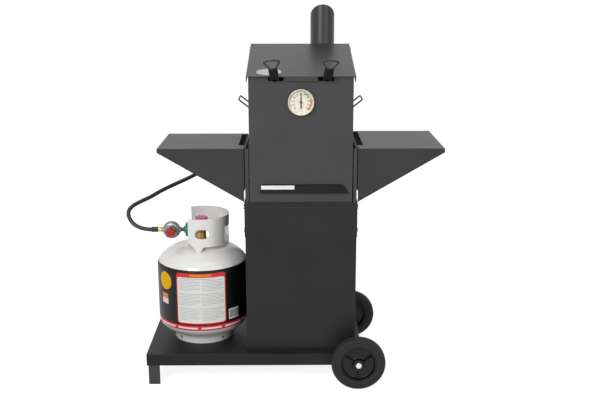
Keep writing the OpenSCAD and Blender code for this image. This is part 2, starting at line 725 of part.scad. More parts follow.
module cylinder_shell() color(cream) cart() translate([tank_x, tank_y, 0]) difference() {
    union() {
        rotate_extrude($fn = 96) polygon(concat([[0, tank_z2 + dome_h]], shell_outline(0)));
        translate([0, 0, tank_z2 + dome_h - 4]) cylinder(r = 20, h = 8);
    }
    rotate_extrude($fn = 96) polygon(concat([[0, tank_z2 + dome_h - tank_wall]], shell_outline(tank_wall)));
    translate([0, 0, tank_z2 + 40]) cylinder(r = 12.2, h = 99);
}

module cylinder_foot() color(cream) cart() translate([tank_x, tank_y, tray_z]) difference() {
    height = tank_low - tank_belly * sqrt(1 - pow((foot_r - 3) / tank_r, 2)) - 0.4;
    cylinder(r = foot_r, h = height, $fn = 96);
    translate([0, 0, -1]) cylinder(r = foot_r - 3, h = 99, $fn = 96);
    for (a = [45 : 90 : 315]) rotate(a) translate([foot_r, 0, height / 2]) rotate([0, 90, 0]) {
        cylinder(r = 5.5, h = 20, center = true);
    }
}

// Guard round the valve: open towards the regulator, with a hand hole and a pointed foot at the front
module cylinder_collar() color(cream) cart() translate([tank_x, tank_y, 0]) difference() {
    foot_z = tank_z2 + dome_h * sqrt(1 - pow((collar_r - 3) / tank_r, 2)) + 0.4;
    top = tray_z + collar_top;
    translate([0, 0, foot_z]) cylinder(r = collar_r, h = top - foot_z, $fn = 96);
    translate([0, 0, foot_z - 1]) cylinder(r = collar_r - 3, h = 999, $fn = 96);
    translate([0, 0, foot_z - 1]) linear_extrude(999) polygon([[0, 0], [-120, 225], [-99, -230]]);
    rotate(62) translate([0, -40, foot_z - 1]) cube([200, 80, 27]);
    translate([0, 0, foot_z]) sheet_y(-200, 0) polygon([[-99, -1], [-7, -1], [-7, 3], [-32, 30], [-99, 30]]);
    translate([0, 0, foot_z]) sheet_y(-200, 0) polygon([[4, -1], [4, 3], [15, 19], [99, 17], [99, -1]]);
    rotate(-6) translate([0, -38, foot_z - 1]) cube([200, 76, 78]);
    hull() for (x = [2, 18]) {
        translate([x, -collar_r, outlet_z + 8]) rotate([90, 0, 0]) cylinder(r = 15.5, h = 60, center = true, $fn = 32);
    }
}

module cylinder_valve() color(brass) cart() translate([tank_x, tank_y, 0]) difference() {
    union() {
        translate([0, 0, tank_z2 + dome_h - 14]) cylinder(r = 12, h = 20);
        translate([0, 0, tank_z2 + dome_h + 4.3]) cylinder(r = 15, h = outlet_z + 20 - tank_z2 - dome_h - 4.3);
        translate([0, 0, outlet_z]) cylinder(r = 9, h = 28);
        translate([0, 0, outlet_z]) cylinder(r = 4, h = 44);
        translate([0, 0, outlet_z]) rotate([0, -90, 0]) cylinder(r = 16.5, h = 47);
    }
    translate([-48, 0, outlet_z]) rotate([0, 90, 0]) cylinder(r = 9.5, h = 20);
}

module valve_handwheel() color("#d45aa8") cart() translate([tank_x, tank_y, outlet_z + 30]) difference() {
    union() {
        cylinder(r = 14, h = 14);
        for (a = [0 : 60 : 300]) rotate(a) translate([14, 0, 0]) cylinder(r = 7, h = 14, $fn = 24);
    }
    translate([0, 0, -1]) cylinder(r = 4 + turn_gap, h = 19);
}

module coupling_nut() color("#1f8a63") cart() difference() {
    union() {
        bar_x(outlet_end - 7, outlet_end + 1, tank_y, outlet_z, 24);
        bar_x(outlet_end, outlet_end + 12, tank_y, outlet_z, 20);
        bar_x(outlet_end - 15, outlet_end - 7, tank_y, outlet_z, 9, 15);
    }
    bar_x(outlet_end - 4, outlet_end + 13, tank_y, outlet_z, 16.5 + turn_gap);
    bar_x(outlet_end - 16, outlet_end, tank_y, outlet_z, 6 + turn_gap);
}

module inlet_nipple() color("#2a2a2a") cart() {
    bar_x(regulator_x + regulator_r - 1, outlet_end + 5, tank_y, outlet_z, 6);
    bar_x(outlet_end - 3.5, outlet_end - 0.4, tank_y, outlet_z, 9);
}

module regulator() color("#8d9092") cart() difference() {
    union() {
        bar_y(tank_y - 12, tank_y + 14, regulator_x, outlet_z, regulator_r);
        bar_y(tank_y - 26, tank_y - 11, regulator_x, outlet_z, 17);
        bar_y(tank_y - 40, tank_y - 25, regulator_x, outlet_z, 4);
        bar_x(regulator_x, regulator_x + regulator_r + 2, tank_y, outlet_z, 9.5);
        bar_x(regulator_x - regulator_r - 3, regulator_x, tank_y, outlet_z, 9.5);
    }
    bar_x(regulator_x + regulator_r - 1.2, regulator_x + 99, tank_y, outlet_z, 6.1);
}

// Knob with five round lobes
module regulator_knob() color("#c8322c") cart() translate([regulator_x, tank_y - 26.5, outlet_z]) difference() {
    rotate([90, 0, 0]) union() {
        cylinder(r = 13, h = 20);
        for (a = [18 : 72 : 306]) rotate(a) translate([11.5, 0, 0]) cylinder(r = 6.2, h = 20, $fn = 24);
    }
    bar_y(-16, 1, 0, 0, 4 + turn_gap);
}

module hose_fitting() color(brass) cart() {
    bar_x(regulator_x - 47, regulator_x - regulator_r - 3, tank_y, outlet_z, 7.5);
}

// Points on a smooth curve through the route, three to each stretch
function spline(a, b, c, d, t) = 0.5 * (2 * b + (c - a) * t + (2 * a - 5 * b + 4 * c - d) * t * t
    + (3 * b - a - 3 * c + d) * t * t * t);
function route(p) = concat(
    [for (i = [0 : len(p) - 2], k = [0 : 1]) spline(
        p[max(i - 1, 0)], p[i], p[i + 1], p[min(i + 2, len(p) - 1)], k / 2)],
    [p[len(p) - 1]]
);
module gas_hose() color("#262626") cart() swept(route(HOSE), hose_r, 10, [0.2, -1, 0.6]);

base_tray();
legs();
axle();
axle_spacers();
axle_caps();
front_tyre();
front_rim();
rear_tyre();
rear_rim();
skirt();
skirt_bolts();
left_bracket();
right_bracket();
left_shelf();
right_shelf();
left_shelf_plate();
right_shelf_plate();
bracket_bolts();
head_casing();
well_bottom();
tube_bend();
burner_leg();
flue_leg();
stack();
burner();
burner_orifice();
gas_elbow();
drain_pipe();
drain_valve();
drain_spout();
drain_lever();
front_ledge();
left_lift_handle();
right_lift_handle();
lid();
hinge_bolts();
left_basket();
left_basket_rods();
left_grip();
right_basket();
right_basket_rods();
right_grip();
thermometer_case();
thermometer_dial();
thermometer_needle();
thermometer_lens();
thermometer_nut();
cylinder_shell();
cylinder_foot();
cylinder_collar();
cylinder_valve();
valve_handwheel();
coupling_nut();
inlet_nipple();
regulator();
regulator_knob();
hose_fitting();
gas_hose();
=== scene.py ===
from math import atan2, cos, pi, radians, sin, sqrt

import bmesh
import bpy
from mathutils import Matrix, Vector


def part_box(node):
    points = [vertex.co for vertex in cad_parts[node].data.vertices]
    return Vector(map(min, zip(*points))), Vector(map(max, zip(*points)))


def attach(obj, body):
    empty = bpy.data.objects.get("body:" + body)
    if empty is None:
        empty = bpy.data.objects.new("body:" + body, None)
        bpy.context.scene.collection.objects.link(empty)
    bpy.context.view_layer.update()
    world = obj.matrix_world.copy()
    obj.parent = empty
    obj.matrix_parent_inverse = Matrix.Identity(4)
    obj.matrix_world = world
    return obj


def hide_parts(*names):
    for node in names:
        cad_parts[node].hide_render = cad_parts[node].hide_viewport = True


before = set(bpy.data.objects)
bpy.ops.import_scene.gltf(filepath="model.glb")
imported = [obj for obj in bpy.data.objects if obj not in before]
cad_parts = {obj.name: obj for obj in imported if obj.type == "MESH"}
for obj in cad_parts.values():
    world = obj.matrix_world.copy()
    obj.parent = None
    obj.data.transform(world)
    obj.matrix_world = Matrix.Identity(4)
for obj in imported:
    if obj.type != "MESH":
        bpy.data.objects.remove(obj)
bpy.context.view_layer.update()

# ---------------------------------------------------------------- camera and studio
# A plain pale floor under an even white sky, with one large soft lamp high on the
# left, a weaker one on the right and a faint one overhead.
scene = bpy.context.scene
scene.view_settings.view_transform = "Standard"
camera = bpy.data.objects.new("camera", bpy.data.cameras.new("camera"))
scene.collection.objects.link(camera)
camera.data.lens = 51.6
camera.data.sensor_width = 36
camera.data.clip_end = 300
camera.location = (0.003, -2.845, 1.300)
camera.rotation_euler = (radians(75.8), 0, radians(-0.47))
scene.camera = camera


def seen_directly(nodes, links):
    """1 where the eye, a reflection or a clear part looks at the background, else 0"""
    path = nodes.new("ShaderNodeLightPath")
    both = nodes.new("ShaderNodeMath")
    both.operation = "MAXIMUM"
    links.new(path.outputs["Is Camera Ray"], both.inputs[0])
    links.new(path.outputs["Is Glossy Ray"], both.inputs[1])
    all_three = nodes.new("ShaderNodeMath")
    all_three.operation = "MAXIMUM"
    links.new(both.outputs[0], all_three.inputs[0])
    links.new(path.outputs["Is Transmission Ray"], all_three.inputs[1])
    return all_three.outputs[0]


ambient = 0.3
sky = bpy.data.worlds.new("white_sky")
scene.world = sky
sky.use_nodes = True
sky_nodes, sky_links = sky.node_tree.nodes, sky.node_tree.links
background = sky_nodes["Background"]
background.inputs["Color"].default_value = (1, 1, 1, 1)
sky_level = sky_nodes.new("ShaderNodeMath")
sky_level.operation = "MULTIPLY_ADD"
sky_level.inputs[1].default_value = 1 - ambient
sky_level.inputs[2].default_value = ambient
sky_links.new(seen_directly(sky_nodes, sky_links), sky_level.inputs[0])
sky_links.new(sky_level.outputs[0], background.inputs["Strength"])

floor_paint = bpy.data.materials.new("pale_floor")
floor_paint.use_nodes = True
floor_nodes, floor_links = floor_paint.node_tree.nodes, floor_paint.node_tree.links
floor_nodes.remove(floor_nodes["Principled BSDF"])
dull = floor_nodes.new("ShaderNodeBsdfDiffuse")
dull.inputs["Color"].default_value = (0.36, 0.36, 0.36, 1)
bright = floor_nodes.new("ShaderNodeBsdfDiffuse")
bright.inputs["Color"].default_value = (0.5, 0.5, 0.5, 1)
glow = floor_nodes.new("ShaderNodeEmission")
glow.inputs["Strength"].default_value = 0.87
lifted = floor_nodes.new("ShaderNodeAddShader")
floor_links.new(bright.outputs[0], lifted.inputs[0])
floor_links.new(glow.outputs[0], lifted.inputs[1])
floor_mix = floor_nodes.new("ShaderNodeMixShader")
floor_links.new(seen_directly(floor_nodes, floor_links), floor_mix.inputs[0])
floor_links.new(dull.outputs[0], floor_mix.inputs[1])
floor_links.new(lifted.outputs[0], floor_mix.inputs[2])
floor_links.new(floor_mix.outputs[0], floor_nodes["Material Output"].inputs["Surface"])
bm = bmesh.new()
bmesh.ops.create_grid(bm, x_segments=1, y_segments=1, size=90)
floor_mesh = bpy.data.meshes.new("floor")
bm.to_mesh(floor_mesh)
bm.free()
floor = bpy.data.objects.new("floor", floor_mesh)
floor.data.materials.append(floor_paint)
scene.collection.objects.link(floor)

for lamp_name, place, size, power in (
    ("key_lamp", (-1.5, -3.0, 2.5), 1.5, 78),
    ("fill_lamp", (2.2, -2.6, 2.0), 1.8, 24),
    ("top_lamp", (0.0, -0.4, 3.4), 2.0, 12),
):
    lamp = bpy.data.objects.new(lamp_name, bpy.data.lights.new(lamp_name, "AREA"))
    lamp.data.size = size
    lamp.data.energy = power
    lamp.location = place
    lamp.rotation_euler = (Vector((0, 0, 0.6)) - lamp.location).to_track_quat("-Z", "Y").to_euler()
    scene.collection.objects.link(lamp)

# ---------------------------------------------------------------- gas hose
# Black rubber hose, 14 mm thick, from the regulator round behind the left shelf and
# down to the burner's elbow. A crimped ferrule holds each end, black below and brass above.


def shade(code):
    """Linear colour of a six-digit colour code"""
    parts = [int(code[i:i + 2], 16) / 255 for i in (0, 2, 4)]
    return tuple(c / 12.92 if c <= 0.04045 else ((c + 0.055) / 1.055) ** 2.4 for c in parts) + (1,)


def finish(
    name, dark, light, rough, patch=9, grain=900, depth=0.00004, metal=0.0, gloss=0.5, coat=0.0,
    stretch=(1, 1, 1),
):
    """A finish that wanders softly between two colours and two roughnesses, with a fine grain"""
    made = bpy.data.materials.new(name)
    made.use_nodes = True
    nodes, links = made.node_tree.nodes, made.node_tree.links
    shader = nodes["Principled BSDF"]
    shader.inputs["Metallic"].default_value = metal
    shader.inputs["Specular IOR Level"].default_value = gloss
    shader.inputs["Coat Weight"].default_value = coat
    shader.inputs["Coat Roughness"].default_value = 0.08
    where = nodes.new("ShaderNodeTexCoord")
    drawn = nodes.new("ShaderNodeMapping")
    drawn.inputs["Scale"].default_value = stretch
    links.new(where.outputs["Object"], drawn.inputs["Vector"])
    cloud = nodes.new("ShaderNodeTexNoise")
    cloud.inputs["Scale"].default_value = patch
    cloud.inputs["Detail"].default_value = 6
    cloud.inputs["Roughness"].default_value = 0.6
    links.new(drawn.outputs[0], cloud.inputs["Vector"])
    tint = nodes.new("ShaderNodeValToRGB")
    tint.color_ramp.elements[0].position = 0.3
    tint.color_ramp.elements[0].color = shade(dark)
    tint.color_ramp.elements[1].position = 0.7
    tint.color_ramp.elements[1].color = shade(light)
    links.new(cloud.outputs["Fac"], tint.inputs["Fac"])
    links.new(tint.outputs["Color"], shader.inputs["Base Color"])
    dullness = nodes.new("ShaderNodeMapRange")
    dullness.inputs["To Min"].default_value = rough[0]
    dullness.inputs["To Max"].default_value = rough[1]
    links.new(cloud.outputs["Fac"], dullness.inputs["Value"])
    links.new(dullness.outputs["Result"], shader.inputs["Roughness"])
    speck = nodes.new("ShaderNodeTexNoise")
    speck.inputs["Scale"].default_value = grain
    speck.inputs["Detail"].default_value = 3
    links.new(drawn.outputs[0], speck.inputs["Vector"])
    bump = nodes.new("ShaderNodeBump")
    bump.inputs["Strength"].default_value = 0.6
    bump.inputs["Distance"].default_value = depth
    links.new(speck.outputs["Fac"], bump.inputs["Height"])
    links.new(bump.outputs["Normal"], shader.inputs["Normal"])
    return made


hose_rubber = finish("hose_rubber", "1a1a1a", "262626", (0.42, 0.6), patch=30, grain=700, depth=0.0001)
# The hose's points in the CAD's own millimetres, before the part is moved to its origin
hose_points = [
    (-486, 190.5, 483), (-500, 190.5, 483), (-514, 190.5, 483), (-542, 193, 487),
    (-569, 200, 499), (-587, 214, 519), (-590, 228, 538), (-578, 244, 552),
    (-555, 264, 562), (-525, 290, 572), (-492, 322, 586), (-458, 352, 598),
    (-422, 378, 610), (-385, 402, 624), (-345, 423, 642), (-305, 440, 664),
    (-265, 452, 690), (-229, 458, 718), (-196, 460, 744), (-166, 460, 763),
    (-136.5, 460, 772), (-121.5, 460, 772), (-107.5, 460, 772),
]
hose_route = [((x + 28) / 1000, (y - 211) / 1000, z / 1000) for x, y, z in hose_points]
hose_line = bpy.data.curves.new("gas_hose_line", "CURVE")
hose_line.dimensions = "3D"
hose_line.bevel_depth = 0.007
hose_line.bevel_resolution = 6
hose_line.resolution_u = 8
hose_line.use_fill_caps = True
hose_spline = hose_line.splines.new("BEZIER")
hose_spline.bezier_points.add(len(hose_route) - 1)
for i, knot in enumerate(hose_spline.bezier_points):
    before = Vector(hose_route[max(i - 1, 0)])
    after = Vector(hose_route[min(i + 1, len(hose_route) - 1)])
    knot.co = hose_route[i]
    knot.handle_left_type = knot.handle_right_type = "FREE"
    knot.handle_left = knot.co - (after - before) / 6
    knot.handle_right = knot.co + (after - before) / 6
hose = bpy.data.objects.new("rubber_hose", hose_line)
hose.data.materials.append(hose_rubber)
scene.collection.objects.link(hose)
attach(hose, "cart")
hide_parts("gas_hose")


def piece(name, bm, body, material, stands_for=()):
    """Turns a finished mesh into a piece that rides on a body and has a finish"""
    mesh = bpy.data.meshes.new(name)
    bm.to_mesh(mesh)
    bm.free()
    obj = bpy.data.objects.new(name, mesh)
    obj.data.materials.append(material)
    scene.collection.objects.link(obj)
    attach(obj, body)
    if stands_for:
        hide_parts(*stands_for)
    return obj


def curve_over(bm):
    """Smooths the faces that bend away from a neighbour by a few degrees, and leaves flat ones flat"""
    for face in bm.faces:
        angles = [e.calc_face_angle(0) for e in face.edges if e.is_manifold]
        face.smooth = any(radians(0.3) < a < radians(33) for a in angles)


def ease(bm, width, wide=0.0, segments=4, sharp=35):
    """Rounds every edge sharper than an angle whose two faces are both wider than a limit"""
    edges = [
        e for e in bm.edges
        if e.is_manifold and e.calc_length() > 1e-5 and e.calc_face_angle(0) > radians(sharp)
        and all(f.calc_area() / e.calc_length() > wide for f in e.link_faces)
    ]
    if edges:
        made = bmesh.ops.bevel(
            bm, geom=edges, offset=width, offset_type="OFFSET", segments=segments, profile=0.5,
            affect="EDGES", clamp_overlap=True, material=-1,
        )
        for face in made["faces"]:
            face.smooth = True


def turned(points, centre, axis, steps=96, closed=True):
    """A shape turned on a lathe: points are (radius, distance along the axis)"""
    bm = bmesh.new()
    verts = [bm.verts.new((r, 0, h)) for r, h in points]
    edges = [bm.edges.new(pair) for pair in zip(verts, verts[1:] + (verts[:1] if closed else []))]
    bmesh.ops.spin(
        bm, geom=verts + edges, cent=(0, 0, 0), axis=(0, 0, 1), angle=2 * pi, steps=steps, use_merge=True,
    )
    bmesh.ops.remove_doubles(bm, verts=bm.verts, dist=0.000001)
    bmesh.ops.recalc_face_normals(bm, faces=bm.faces)
    curve_over(bm)
    turn = Vector((0, 0, 1)).rotation_difference(Vector(axis)).to_matrix().to_4x4()
    bmesh.ops.transform(bm, matrix=Matrix.Translation(centre) @ turn, verts=bm.verts)
    return bm


yellow_brass = finish(
    "yellow_brass", "b08a4a", "d2ad6a", (0.24, 0.42), patch=60, grain=1400, depth=0.00002, metal=1.0,
)
black_crimp = finish("black_crimp", "1b1b1b", "2a2a2a", (0.3, 0.42), patch=60, grain=1200, depth=0.00002)
ferrule = [
    (0.0071, 0.0), (0.0088, 0.0), (0.0092, 0.0006), (0.0092, 0.004), (0.0084, 0.0048), (0.0084, 0.0072),
    (0.0092, 0.008), (0.0092, 0.0115), (0.0084, 0.0123), (0.0084, 0.0147), (0.0092, 0.0155), (
        0.0092, 0.0205,
    ),
    (0.0086, 0.0215), (0.0071, 0.0215),
]
piece(
    "hose_ferrule_low", turned(ferrule, hose_route[0], (-1, 0, 0), steps=48), "cart",
    black_crimp,
)
piece(
    "hose_ferrule_high", turned(ferrule, hose_route[-1], (-1, 0, 0), steps=48), "cart",
    yellow_brass,
)

# ---------------------------------------------------------------- tray and legs
# One sheet-steel tray, 2 mm thick, folded down on all four sides, with an angle-iron leg
# welded inside each left corner. All of it has the cart's satin black powder coat.


def softened(name, node, body, material, fold=0.0024, edge=0.0005):
    """A merged copy of a CAD node with its folds and its cut edges rounded"""
    bm = bmesh.new()
    bm.from_mesh(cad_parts[node].data)
    bmesh.ops.remove_doubles(bm, verts=bm.verts, dist=0.00001)
    bmesh.ops.dissolve_limit(bm, angle_limit=radians(0.6), verts=bm.verts, edges=bm.edges)
    curve_over(bm)
    if fold:
        ease(bm, fold, wide=0.007)
    if edge:
        ease(bm, edge, segments=3, sharp=38)
    bmesh.ops.remove_doubles(bm, verts=bm.verts, dist=0.000002)
    return piece(name, bm, body, material, [node])


black_coat = finish(
    "black_powder_coat", "2f2f30", "39393a", (0.4, 0.52), patch=7, grain=1100, depth=0.00006, gloss=0.42,
)
# The tray's copy of the black coat is darker: painted shade for the shadow the cylinder and head cast over
# it.
tray_coat_painted_shade = finish(
    "tray_powder_coat_painted_shade", "1b1b1c", "232325", (0.4, 0.52), patch=7, grain=1100, depth=0.00006, gloss=0.2,
)
softened("tray_sheet", "base_tray", "cart", tray_coat_painted_shade)
softened("leg_angles", "legs", "cart", black_coat, fold=0.002)

# ---------------------------------------------------------------- axle and wheels
# Zinc-plated axle with a push-on cap at each end. Each wheel is a solid rubber tyre on
# a moulded black rim: a dished web, three ribs and a hub that turns on the axle.
zinc = finish("zinc_plate", "a8a9aa", "c6c7c8", (0.28, 0.46), patch=40, grain=900, depth=0.00002, metal=1.0)
cap_chrome = finish(
    "cap_chrome", "cfcfcb", "e6e6e2", (0.12, 0.24), patch=60, grain=600, depth=0.00001, metal=1.0,
)
tyre_rubber = finish(
    "tyre_rubber", "1d1d1c", "282827", (0.6, 0.78), patch=22, grain=650, depth=0.00012, gloss=0.3,
)
rim_plastic = finish(
    "rim_plastic", "0c0c0d", "131314", (0.3, 0.42), patch=30, grain=1500, depth=0.00002, gloss=0.28,
)
softened("axle_bar", "axle", "cart", zinc, fold=0.001, edge=0.0008)
softened("axle_tube_spacers", "axle_spacers", "cart", zinc, fold=0.0, edge=0.0004)

tyre_section = [
    (0.0577, 0.0045), (0.0595, 0.0022), (0.0640, 0.0008), (0.0700, 0.0002), (0.0735, 0.0006), (
        0.0742, 0.0014,
    ),
    (0.0770, 0.0014), (0.0778, 0.0008), (0.0812, 0.0022), (0.0846, 0.0048), (0.0872, 0.0082), (
        0.0885, 0.0120,
    ),
    (0.0889, 0.0150), (0.0889, 0.0160), (0.0876, 0.0166), (0.0876, 0.0178), (0.0889, 0.0184), (
        0.0889, 0.0236,
    ),
    (0.0876, 0.0242), (0.0876, 0.0254), (0.0889, 0.0260), (0.0889, 0.0270), (0.0885, 0.0300), (
        0.0872, 0.0338,
    ),
    (0.0846, 0.0372), (0.0812, 0.0398), (0.0778, 0.0412), (0.0770, 0.0406), (0.0742, 0.0406), (
        0.0735, 0.0414,
    ),
    (0.0700, 0.0418), (0.0640, 0.0412), (0.0595, 0.0398), (0.0577, 0.0375),
]
rim_section = [
    (0.0575, 0.0046), (0.0572, 0.0034), (0.0562, 0.0028), (0.0548, 0.0028), (0.0538, 0.0036), (
        0.0532, 0.0060,
    ),
    (0.0518, 0.0122), (0.0508, 0.0142), (0.0490, 0.0152), (0.0260, 0.0158), (0.0215, 0.0150), (
        0.0190, 0.0120,
    ),
    (0.0180, 0.0010), (0.0172, -0.0010), (0.0160, -0.0016), (0.0068, -0.0016), (0.0068, 0.0410), (
        0.0160, 0.0410,
    ),
    (0.0174, 0.0400), (0.0182, 0.0290), (0.0200, 0.0252), (0.0260, 0.0242), (0.0490, 0.0246), (
        0.0508, 0.0258,
    ),
    (0.0520, 0.0290), (0.0532, 0.0360), (0.0538, 0.0384), (0.0548, 0.0392), (0.0562, 0.0392), (
        0.0572, 0.0386,
    ),
    (0.0575, 0.0374),
]
cap_section = [
    (0.0064, 0.0105), (0.0130, 0.0105), (0.0134, 0.0098), (0.0130, 0.0090), (0.0112, 0.0084), (
        0.0106, 0.0060,
    ),
    (0.0096, 0.0034), (0.0076, 0.0014), (0.0040, 0.0003), (0.0, 0.0),
]
for end, out in (("front", -1), ("rear", 1)):
    low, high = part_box(end + "_tyre")
    outside = Vector(((low[0] + high[0]) / 2, low[1] if out < 0 else high[1], (low[2] + high[2]) / 2))
    inward = Vector((0, -out, 0))
    wheel = end + "_wheel"
    piece(
        end + "_tyre_ring", turned(tyre_section, outside, inward, 128), wheel, tyre_rubber,
        [end + "_tyre"],
    )
    bm = turned(rim_section, outside, inward, 96)
    for angle in (30, 150, 270):
        rib = bmesh.ops.create_cube(bm, size=1)["verts"]
        bmesh.ops.scale(bm, vec=(0.034, 0.0125, 0.0032), verts=rib)
        bmesh.ops.translate(bm, vec=outside + Vector((0.0345, -out * 0.0108, 0)), verts=rib)
        bmesh.ops.rotate(bm, cent=outside, matrix=Matrix.Rotation(radians(-angle), 3, "Y"), verts=rib)
        upper = {e for v in rib for e in v.link_edges}
        bmesh.ops.bevel(
            bm, geom=list(upper), offset=0.0009, offset_type="OFFSET", segments=3, profile=0.5,
            affect="EDGES", material=-1,
        )
    piece(end + "_rim_moulding", bm, wheel, rim_plastic, [end + "_rim"])
low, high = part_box("axle_caps")
mid = ((low[0] + high[0]) / 2, (low[2] + high[2]) / 2)
bm = turned(cap_section, (mid[0], low[1], mid[1]), (0, 1, 0), 48, closed=False)
rear_cap = turned(cap_section, (mid[0], high[1], mid[1]), (0, -1, 0), 48, closed=False)
spare = bpy.data.meshes.new("rear_cap")
rear_cap.to_mesh(spare)
rear_cap.free()
bm.from_mesh(spare)
bpy.data.meshes.remove(spare)
piece("axle_push_caps", bm, "cart", cap_chrome, ["axle_caps"])

# ---------------------------------------------------------------- skirt
# Lower box, folded from 2 mm sheet and open at the back, bolted to the tray through its
# bottom flanges. Its top flange meets the head's foot, and the seam between them shows.
# The skirt's coat is a darker copy of the black coat: painted shade, since the lower box gets less light
# than the head.
skirt_coat_painted_shade = finish(
    "skirt_powder_coat_painted_shade", "1d1d1e", "252526", (0.4, 0.52), patch=6, grain=1100, depth=0.00006, gloss=0.25,
)
softened("skirt_box", "skirt", "cart", skirt_coat_painted_shade)
softened("skirt_bolt_set", "skirt_bolts", "cart", zinc, fold=0.0011, edge=0.0008)

# ---------------------------------------------------------------- brackets and shelves
# A channel inside each side of the skirt carries the head. Each side shelf is one folded
# sheet with triangular gussets, hung on a plate that is bolted through the skirt's side.
shelf_coat = finish(
    "shelf_powder_coat", "2c2b2b", "353433", (0.38, 0.5), patch=6, grain=1100, depth=0.00006, gloss=0.32,
)
# The side plates' coat is near black: painted shade for the dark space under the shelves, seen through
# their notches.
plate_coat_painted_shade = finish(
    "plate_powder_coat_painted_shade", "121213", "1a1a1b", (0.44, 0.56), patch=7, grain=1100, depth=0.00006, gloss=0.2,
)
for side in ("left", "right"):
    softened(side + "_channel", side + "_bracket", "cart", black_coat, fold=0.0018)
    softened(side + "_folded_shelf", side + "_shelf", "cart", shelf_coat, fold=0.0022)
    softened(side + "_side_plate", side + "_shelf_plate", "cart", plate_coat_painted_shade, fold=0.0015)
softened("shelf_bolt_set", "bracket_bolts", "cart", zinc, fold=0.0011, edge=0.0008)

# ---------------------------------------------------------------- oil well
# The head is the pot itself: welded sheet walls, a folded V bottom below a U-shaped fire
# tube, and a drain at the lowest point. Heat has browned the tube a little.
warm_steel = finish(
    "heated_steel", "3a3634", "55504c", (0.36, 0.6), patch=14, grain=800, depth=0.00006, metal=0.7,
)
head_coat = finish(
    "head_powder_coat", "323234", "3b3b3d", (0.4, 0.54), patch=6, grain=1100, depth=0.00006, gloss=0.42,
)
softened("head_shell", "head_casing", "cart", head_coat, fold=0.0022)
softened("v_bottom", "well_bottom", "cart", warm_steel, fold=0.0018)
for part in ("tube_bend", "burner_leg", "flue_leg"):
    softened("fire_" + part, part, "cart", warm_steel, fold=0.0, edge=0.0006)
softened("drain_stub", "drain_pipe", "cart", zinc, fold=0.0, edge=0.0006)
softened("drain_ball_valve", "drain_valve", "cart", yellow_brass, fold=0.0012, edge=0.0008)
softened("drain_nozzle", "drain_spout", "cart", zinc, fold=0.0, edge=0.0006)
red_vinyl = finish("red_vinyl", "9c1f18", "b82a20", (0.3, 0.45), patch=40, grain=500, depth=0.00004)
softened(
    "drain_valve_lever", "drain_lever", "drain_lever", red_vinyl, fold=0.0012, edge=0.0009,
)

# ---------------------------------------------------------------- stack and burner
# Round steel flue with its mouth cut on a slant, welded to the fire tube's right leg, and
# a cast burner pushed into the left leg behind a brass orifice and elbow.
# The flue's paint is a darker copy of the black coat: painted shade for the dark sides of the round pipe.
stack_coat_painted_shade = finish(
    "stack_paint_painted_shade", "272728", "323234", (0.32, 0.42), patch=12, grain=1000, depth=0.00005, gloss=0.38,
)
cast_iron = finish(
    "cast_iron", "2a2a2a", "3d3c3b", (0.55, 0.75), patch=40, grain=420, depth=0.0003, metal=0.5,
)
softened("flue_stack", "stack", "cart", stack_coat_painted_shade, fold=0.0, edge=0.0006)
softened("burner_casting", "burner", "cart", cast_iron, fold=0.001, edge=0.0008)
softened("orifice_fitting", "burner_orifice", "cart", yellow_brass, fold=0.001, edge=0.0007)
softened("brass_elbow", "gas_elbow", "cart", yellow_brass, fold=0.0025, edge=0.001)

# ---------------------------------------------------------------- ledge and blank plate
# A folded hood over the seam, with slanted ends, and a blank enamelled plate stuck on the
# upper left of its sloping face.
# The hood's coat is near black: painted shade, colouring the sloping face as if it were turned away from
# the light.
hood_coat_painted_shade = finish(
    "hood_powder_coat_painted_shade", "0e0e0d", "161615", (0.5, 0.62), patch=9, grain=1100, depth=0.00006, gloss=0.15,
)
softened("front_hood", "front_ledge", "cart", hood_coat_painted_shade, fold=0.0012, edge=0.0006)
enamel = finish("pale_enamel", "eae9e7", "f0efed", (0.22, 0.34), patch=25, grain=500, depth=0.00002)
low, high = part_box("front_ledge")
bm = bmesh.new()
plate = bmesh.ops.create_cube(bm, size=1)["verts"]
bmesh.ops.scale(bm, vec=(0.106, 0.0006, 0.0125), verts=plate)
bmesh.ops.bevel(
    bm, geom=bm.edges[:], offset=0.0002, offset_type="OFFSET", segments=2, profile=0.5, affect="EDGES",
    material=-1,
)
bmesh.ops.rotate(bm, cent=(0, 0, 0), matrix=Matrix.Rotation(-atan2(8, 23), 3, "X"), verts=bm.verts)
bmesh.ops.translate(bm, vec=(low[0] + 0.057, low[1] + 0.0054, high[2] - 0.0088), verts=bm.verts)
piece("blank_plate", bm, "cart", enamel)

# ---------------------------------------------------------------- lift handles
# A bent 5 mm rod on each side of the head, welded on at both feet and painted with it.


